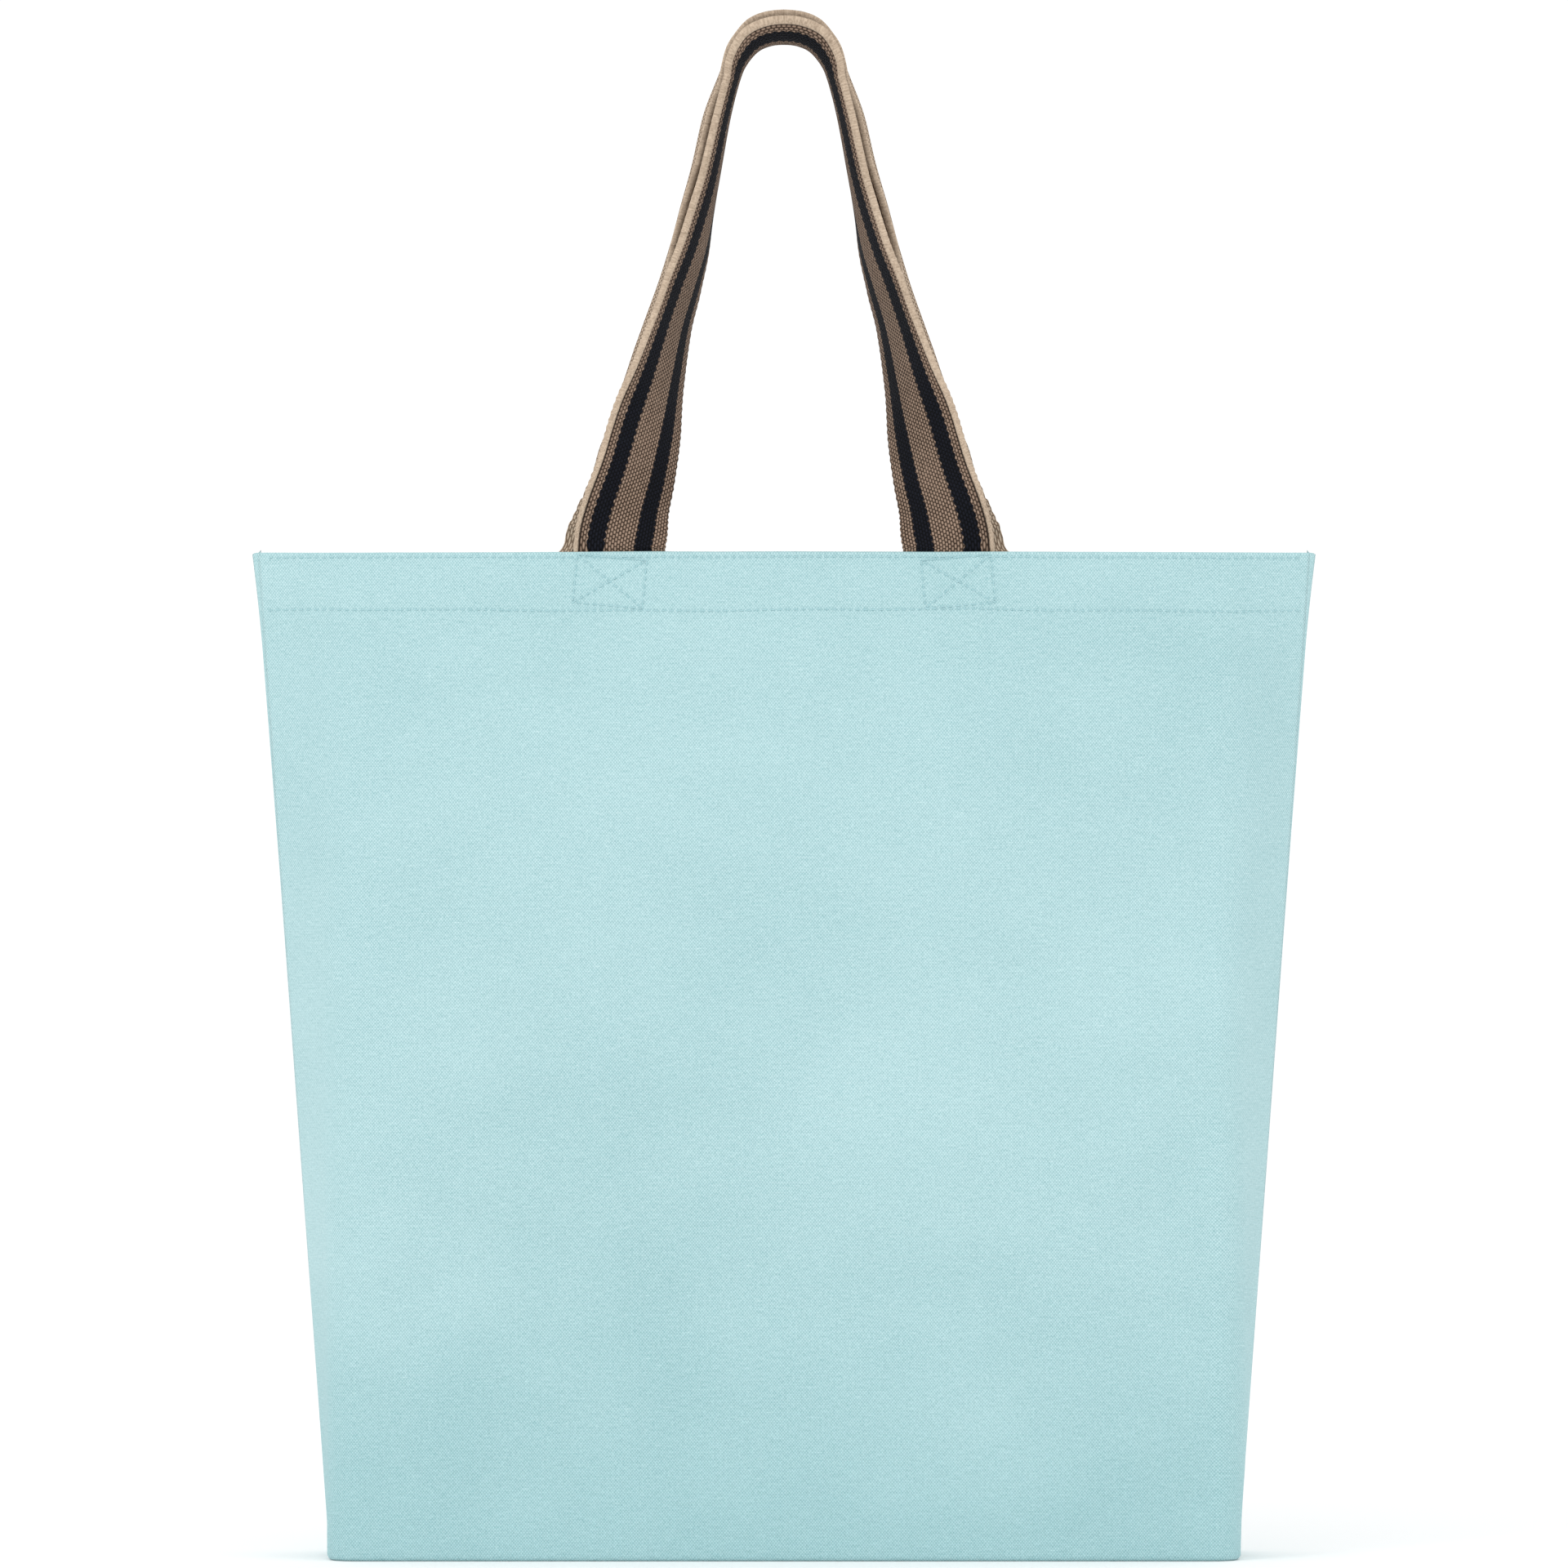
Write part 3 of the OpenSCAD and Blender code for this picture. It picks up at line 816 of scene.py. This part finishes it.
def webbing_material(name, ground, stripe, ground_deep):
    """Ribbed cotton webbing with two dark stripes whose edges step with the weave."""
    s = Shader(name)
    rib, stroke = 1.2 * MM, 1.85 * MM
    stripe_place, stripe_half = 9.8 * MM, 2.95 * MM     # from the middle of the webbing
    bead_end, groove_place = 2 * MM, 2.4 * MM           # from the beaded edge
    column = s.math("FLOOR", s.times(s.u, 1 / rib))
    odd = s.math("MODULO", column, 2.0)
    along = s.add(s.times(s.v, 1 / stroke), s.times(odd, 0.5))
    dash = s.math("POWER", s.math("ABSOLUTE", s.math("SINE", s.times(along, math.pi))), 0.55)
    ridge = s.math("POWER", s.math("ABSOLUTE", s.math("SINE", s.times(s.u, math.pi / rib))), 0.6)
    weave = s.times(dash, ridge)
    fibre = s.noise(s.times(s.u, 1 / (0.16 * MM)), s.times(s.v, 1 / (1.1 * MM)), 1, 2, 4.0)
    stroke_tone = s.noise(s.times(column, 3.7), s.math("FLOOR", along), 0.9, 0, 8.0)
    broad = s.noise(s.u, s.v, 30, 3, 6.0)

    # distance inside a stripe, whose edges scallop with the strokes
    centred = s.math("ABSOLUTE", s.add(s.u, -WEB_W / 2))
    off_stripe = s.math("ABSOLUTE", s.add(centred, -stripe_place))
    scallop = s.math("ABSOLUTE", s.math("SINE", s.times(s.v, math.pi / SELVEDGE_PITCH)))
    step = s.add(s.times(scallop, 0.8 * MM), s.times(s.add(dash, -0.5), 0.5 * MM))
    inside = s.math("SUBTRACT", s.add(step, stripe_half), off_stripe)
    striped = s.between(inside, -0.12 * MM, 0.12 * MM)

    # painted shade: the gaps between the weave's strokes are coloured darker, down to ground_deep and
    # near black in the stripes, mixed with random tint
    shade = s.between(weave, 0.3, 0.95)
    tint = s.add(s.times(s.add(stroke_tone, -0.5), 0.5), s.times(s.add(fibre, -0.5), 0.5))
    tint = s.add(tint, s.times(s.add(broad, -0.5), 0.5))
    # the beaded edge is smoother, with finer threads, and is painted paler: a painted highlight where
    # the bead catches the light
    bead = s.between(s.u, bead_end - 0.3 * MM, bead_end, 1.0, 0.0)
    speckle = s.between(s.noise(s.u, s.v, 1500, 2, 11.0), 0.35, 0.65)
    shade = s.add(s.times(shade, s.math("SUBTRACT", 1.0, bead)),
                  s.times(s.add(s.times(speckle, 0.4), 0.5), bead))
    light = s.add(s.times(shade, 0.8), s.times(tint, 0.75))
    beige = s.mix(s.between(light, 0, 0.8, smooth=False), ground_deep, ground)
    dark = s.mix(s.between(light, 0, 1, smooth=False), srgb(7, 8, 12), stripe)
    cloth = s.mix(striped, beige, dark)
    # the groove beside the beaded edge lies in shade
    off_groove = s.math("ABSOLUTE", s.add(s.u, -groove_place))
    groove = s.between(off_groove, 0.25 * MM, 0.7 * MM, 0.75, 0.0)
    s.colour(s.mix(groove, cloth, srgb(48, 39, 33)))
    s.roughness(s.between(weave, 0, 1, 0.95, 0.8, smooth=False))
    height = s.add(s.times(weave, s.math("SUBTRACT", 1.0, s.times(bead, 0.75))), s.times(fibre, 0.25))
    s.bump(height, 0.42 * MM, 1.0)
    s.cloth_finish(0.03, 0.1)
    return s.material


def thread_material():
    """Spun sewing thread, its plies twisted."""
    s = Shader("thread")
    twist = s.math("SINE", s.add(s.times(s.v, 26.0), s.times(s.u, 2 * math.pi)))
    tone = s.between(twist, -1, 1, smooth=False)
    s.colour(s.mix(tone, srgb(146, 188, 194), srgb(186, 220, 224)))
    s.roughness(0.75)
    s.bump(twist, 0.04 * MM, 0.8)
    s.cloth_finish(0.1)
    return s.material


def tape_material():
    """Cotton twill tape."""
    s = Shader("tape")
    rib = 0.7 * MM
    slant = s.math("SINE", s.times(s.add(s.u, s.v), 2 * math.pi / rib))
    grain = s.noise(s.times(s.u, 1 / (0.3 * MM)), s.times(s.v, 1 / (2 * MM)), 1, 2, 3.0)
    broad = s.noise(s.u, s.v, 45, 2, 2.0)
    tone = s.add(s.times(slant, 0.22), s.add(s.times(grain, 0.4), s.times(broad, 0.4)))
    s.colour(s.mix(s.between(tone, 0, 1, smooth=False), srgb(188, 212, 212), srgb(222, 236, 234)))
    s.roughness(s.between(grain, 0, 1, 0.95, 0.82, smooth=False))
    s.bump(s.add(slant, grain), 0.09 * MM, 0.7)
    s.cloth_finish(0.12)
    return s.material


CANVAS = canvas_material()
# the inner faces' material is the same webbing made darker: painted shade on the inside of the loops
WEB_OUTER = webbing_material("webbing_outer", srgb(206, 186, 164), srgb(36, 37, 52), srgb(128, 108, 90))
WEB_INNER_SHADED = webbing_material("webbing_inner_shaded", srgb(163, 139, 121), srgb(26, 28, 38), srgb(66, 52, 42))
THREAD = thread_material()
TAPE = tape_material()


def finish_piece(obj, materials, slot, *nodes):
    """Materials, and the CAD nodes that the piece stands for, which are hidden; slot is not used."""
    for m in materials:
        obj.data.materials.append(m)
    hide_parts(*nodes)


# ---- build ----

front_canvas = make_panel("front_canvas", FRONT_FOLDS, 11.0, back=False)
back_canvas = make_panel("back_canvas", BACK_FOLDS, 47.0, back=True)
front_webbing = make_webbing("front_webbing", FRONT_LOOP, FRONT_CUP, back=False, seed=0.4)
back_webbing = make_webbing("back_webbing", BACK_LOOP, BACK_CUP, back=True, seed=1.9)

canvas_tree = {"front": tree_of(front_canvas), "back": tree_of(back_canvas)}
inner_tree = {"front": tree_of(front_canvas, front_webbing),
              "back": tree_of(back_canvas, back_webbing)}
OUTWARD = {"front": -1, "back": 1}
PANEL_RAY = 0.2         # rays on to the outside start this far from the middle plane
stitches = []


def stitch_panel(face, name, line, node):
    """A line of stitches (x, z points) through a panel, on its outside and its inside."""
    out = OUTWARD[face]
    points = [(x, 0, z) for x, z in line]
    outside = (canvas_tree[face], (0, -out, 0), PANEL_RAY)
    inside = (inner_tree[face], (0, out, 0), 0.0)
    obj = make_stitches(name, spots_along(points, [outside, inside]))
    finish_piece(obj, [THREAD], "thread", node)
    stitches.append(obj)


def level_line(drop, stray):
    """A line of stitches at a depth below the rim that strays a little up and down."""
    half = RIM_HALF - 5 * MM
    xs = np.linspace(-half, half, 240)
    dz = 0.35 * MM * np.sin(xs / (37 * MM)) + 0.2 * MM * np.sin(xs / (11 * MM) + 1)
    return list(zip(xs, BAG_H - drop + stray * dz))


def box_lines(tail_x, side):
    """The box and cross on a tail, as one run of thread: (x, z) points.

    tail_x is where the left tail meets the rim, and side is -1 for the right tail."""
    w, h, shift = 14.5 * MM, 10 * MM, 3 * MM    # half the box, and its place across the tail
    corners = [(-w, -h), (-w, h), (w, h), (w, -h), (-w, -h), (w, h), (-w, h), (w, -h)]
    c, s = math.cos(TAIL_LEAN), math.sin(TAIL_LEAN)
    line = []
    for x, z in corners:
        lx, lz = x - shift, z - HEM / 2
        line.append((side * (tail_x + lx * c + lz * s), BAG_H - lx * s + lz * c))
    return line


for face, loop in (("front", FRONT_LOOP), ("back", BACK_LOOP)):
    stitch_panel(face, f"{face}_rim_stitches", level_line(RIM_STITCH, 0.3), f"{face}_rim_stitch")
    stitch_panel(face, f"{face}_hem_stitches", level_line(HEM_STITCH, 1), f"{face}_hem_stitch")
    for side, side_name in ((1, "left"), (-1, "right")):
        stitch_panel(face, f"{face}_{side_name}_box_stitches",
                     box_lines(loop[0][0] * MM, side), f"{face}_{side_name}_box_stitch")


def seam_edge_x(z):
    """Inner edge of the side seam's allowance at height z."""
    return BASE_HALF + (RIM_HALF - BASE_HALF) * z / BAG_H - 2 * CANVAS_T - SEAM_W + 0.6 * MM


TAPE_RAY = 20 * MM                  # rays on to a tape start this far from the seam's plane
ALLOWANCE_TOP = SEAM_W + CANVAS_T   # edge of the allowances that stand on the base
SEWN_Z = SEAM_W - 2.6 * MM          # the stitches through them
SIDE_SEWN = 3.4 * MM                # from a side allowance's edge to its stitches
bindings = []


def bind_seam(name, edge, sewn, off, across):
    """Tape along the edge of a seam's allowances, and its stitches along the line sewn."""
    tape = make_binding(f"{name}_tape", edge, off, across)
    finish_piece(tape, [TAPE], "binding", f"{name}_binding")
    bindings.append(tape)
    tree = tree_of(tape)
    rays = [(tree, [k * c for c in across], TAPE_RAY) for k in (1, -1)]
    thread = make_stitches(f"{name}_stitches", spots_along(sewn, rays))
    finish_piece(thread, [THREAD], "thread", f"{name}_stitch")
    stitches.append(thread)


for side, side_name in ((-1, "left"), (1, "right")):
    zs = np.linspace(13 * MM, BAG_H - HEM - 2 * MM, 300)
    bind_seam(f"{side_name}_side", [(side * seam_edge_x(z), 0, z) for z in zs],
              [(side * (seam_edge_x(z) + SIDE_SEWN), 0, z) for z in zs], (-side, 0, 0), (0, 1, 0))
    x = side * (BASE_HALF - 4.05 * MM)
    ys = np.linspace(CORNER_R - BASE_DEPTH, BASE_DEPTH - CORNER_R, 60)
    bind_seam(f"{side_name}_corner", [(x, y, ALLOWANCE_TOP) for y in ys],
              [(x, y, SEWN_Z) for y in ys], (0, 0, 1), (1, 0, 0))

half = BASE_HALF - 14 * MM
xs = np.linspace(-half, half, 260)
bind_seam("bottom", [(x, 0, ALLOWANCE_TOP) for x in xs], [(x, 0, SEWN_Z) for x in xs],
          (0, 0, 1), (0, 1, 0))

finish_piece(front_canvas, [CANVAS], "canvas", "front_panel")
finish_piece(back_canvas, [CANVAS], "canvas", "back_panel")
finish_piece(front_webbing, [WEB_OUTER, WEB_INNER_SHADED], "webbing",
             "front_handle", "front_left_tail", "front_right_tail")
finish_piece(back_webbing, [WEB_OUTER, WEB_INNER_SHADED], "webbing",
             "back_handle", "back_left_tail", "back_right_tail")

for piece in [front_canvas, back_canvas, *stitches, *bindings]:
    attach(piece, "root")
# each strap's placing is baked into its points
for piece, body, y in ((front_webbing, "front_handle", -24 * MM),
                       (back_webbing, "back_handle", 24 * MM)):
    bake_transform(piece)


# ---- camera, light and stage ----

FRAME_WIDTH = 0.6523    # width that the view covers at the middle of the bag
CAMERA_PLACE = (0, -5, 0.321)
SENSOR = 36
camera_data = bpy.data.cameras.new("camera")
camera_data.sensor_width = SENSOR
camera_data.lens = SENSOR * abs(CAMERA_PLACE[1]) / FRAME_WIDTH
camera = bpy.data.objects.new("camera", camera_data)
camera.location = CAMERA_PLACE
camera.rotation_euler = (math.pi / 2, 0, 0)
bpy.context.scene.collection.objects.link(camera)
bpy.context.scene.camera = camera

# a pale floor, wide enough for every view
FLOOR_HALF = 40
floor_corners = [(x * FLOOR_HALF, y * FLOOR_HALF, 0) for x, y in ((-1, -1), (1, -1), (1, 1), (-1, 1))]
floor = new_object("floor", floor_corners, [(0, 1, 2, 3)], np.zeros((4, 2)))
floor_material = bpy.data.materials.new("floor")
floor_material.use_nodes = True
floor_surface = floor_material.node_tree.nodes["Principled BSDF"]
floor_surface.inputs["Base Color"].default_value = (0.97, 0.97, 0.97, 1)
floor_surface.inputs["Roughness"].default_value = 0.9
floor_surface.inputs["Specular IOR Level"].default_value = 0.1
floor.data.materials.append(floor_material)

world = bpy.data.worlds.new("studio")
world.use_nodes = True
background = world.node_tree.nodes["Background"]
background.inputs["Color"].default_value = (1, 1, 1, 1)
background.inputs["Strength"].default_value = 1.05
bpy.context.scene.world = world


def area_light(name, place, target, size, power):
    data = bpy.data.lights.new(name, "AREA")
    data.shape = "RECTANGLE"
    data.size, data.size_y = size
    data.energy = power
    light = bpy.data.objects.new(name, data)
    light.location = place
    light.rotation_euler = (Vector(target) - Vector(place)).to_track_quat("-Z", "Y").to_euler()
    bpy.context.scene.collection.objects.link(light)


LIT_PLACE = (0, 0, 0.3)
area_light("key", (-1.6, -1.9, 2.1), LIT_PLACE, (0.9, 0.9), 13)
area_light("fill", (1.9, -1.6, 1.5), LIT_PLACE, (1.2, 1.2), 5)

bpy.context.scene.view_settings.view_transform = "Standard"
